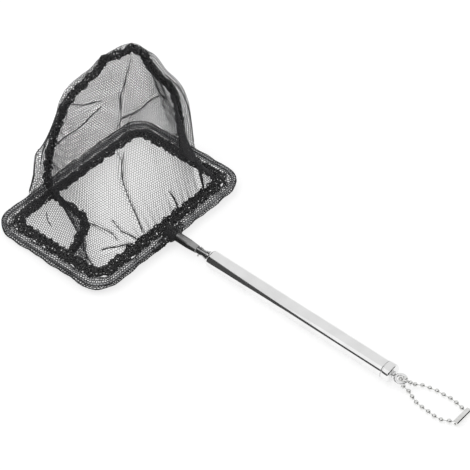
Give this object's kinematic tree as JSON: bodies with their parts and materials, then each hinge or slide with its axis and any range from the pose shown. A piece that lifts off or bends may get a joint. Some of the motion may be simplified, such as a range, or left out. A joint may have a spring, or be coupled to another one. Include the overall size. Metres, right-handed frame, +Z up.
{
  "type": "telescopic landing net",
  "caption": "Small landing net: mesh bag on a rectangular wire hoop, telescopic tube in a chromed grip, and a ball chain through the eye at its end.",
  "frame": {"origin": "on the floor, under the middle of the net's box, as it lies on its cap and hoop", "axes": "+X along the handle from the hoop to the eye, +Y across the hoop, +Z up"},
  "size_m": [0.3284, 0.1396, 0.1109],
  "materials": {
    "chrome": "bright polished chrome plate",
    "plated_steel": "plated, drawn tube, fine lengthwise lines",
    "hoop_steel": "drawn wire, dull plate",
    "nickel": "bright nickel plate",
    "spring_bronze": "rolled strip, satin",
    "moulded_black": "matt moulded",
    "net_mesh": "open knitted mesh, black",
    "binding": "dense overlocked thread, black"
  },
  "bodies": {
    "grip": {"grip_tube": "chrome", "rear_plug": "moulded_black", "end_cap": "chrome", "eye": "chrome"},
    "outer_stage": {"outer_tube": "plated_steel", "piston_bush": "moulded_black"},
    "middle_stage": {"middle_tube": "plated_steel", "middle_spring": "spring_bronze"},
    "head_guide": {"head_spring": "spring_bronze"},
    "net_head": {"head_tube": "plated_steel", "joining_plug": "plated_steel", "cross_rivet": "nickel", "ferrule": "plated_steel", "wire_hoop": "hoop_steel", "mesh_sleeve": "net_mesh", "bound_band": "binding", "throat_bunch": "net_mesh", "bag_seam": "binding", "near_panel": "net_mesh", "far_panel": "net_mesh"},
    "bead_chain": {"chain_connector": "nickel", "chain_ball_01": "nickel", "chain_ball_02": "nickel", "chain_ball_03": "nickel", "chain_ball_04": "nickel", "chain_ball_05": "nickel", "chain_ball_06": "nickel", "chain_ball_07": "nickel", "chain_ball_08": "nickel", "chain_ball_09": "nickel", "chain_ball_10": "nickel", "chain_ball_11": "nickel", "chain_ball_12": "nickel", "chain_ball_13": "nickel", "chain_ball_14": "nickel", "chain_ball_15": "nickel", "chain_ball_16": "nickel", "chain_ball_17": "nickel", "chain_ball_18": "nickel", "chain_ball_19": "nickel", "chain_ball_20": "nickel", "chain_ball_21": "nickel", "chain_ball_22": "nickel"}
  },
  "joints": [
    {"name": "outer_slide", "type": "slide", "parent": "grip", "child": "outer_stage", "axis": [-1, 0, 0], "range_m": [0, 0.118]},
    {"name": "middle_slide", "type": "slide", "parent": "outer_stage", "child": "middle_stage", "axis": [-1, 0, 0], "range_m": [0, 0.1107]},
    {"name": "head_slide", "type": "slide", "parent": "middle_stage", "child": "head_guide", "axis": [-1, 0, 0], "range_m": [0, 0.1015]},
    {"name": "net_swivel", "type": "hinge", "parent": "head_guide", "child": "net_head", "pos_m": [-0.04, 0, 0.00641], "axis": [1, 0, 0], "continuous": true},
    {"name": "chain_swing", "type": "hinge", "parent": "grip", "child": "bead_chain", "pos_m": [0.11875, 0, 0.00641], "axis": [0, 0, 1], "range_deg": [-60, 60]}
  ]
}
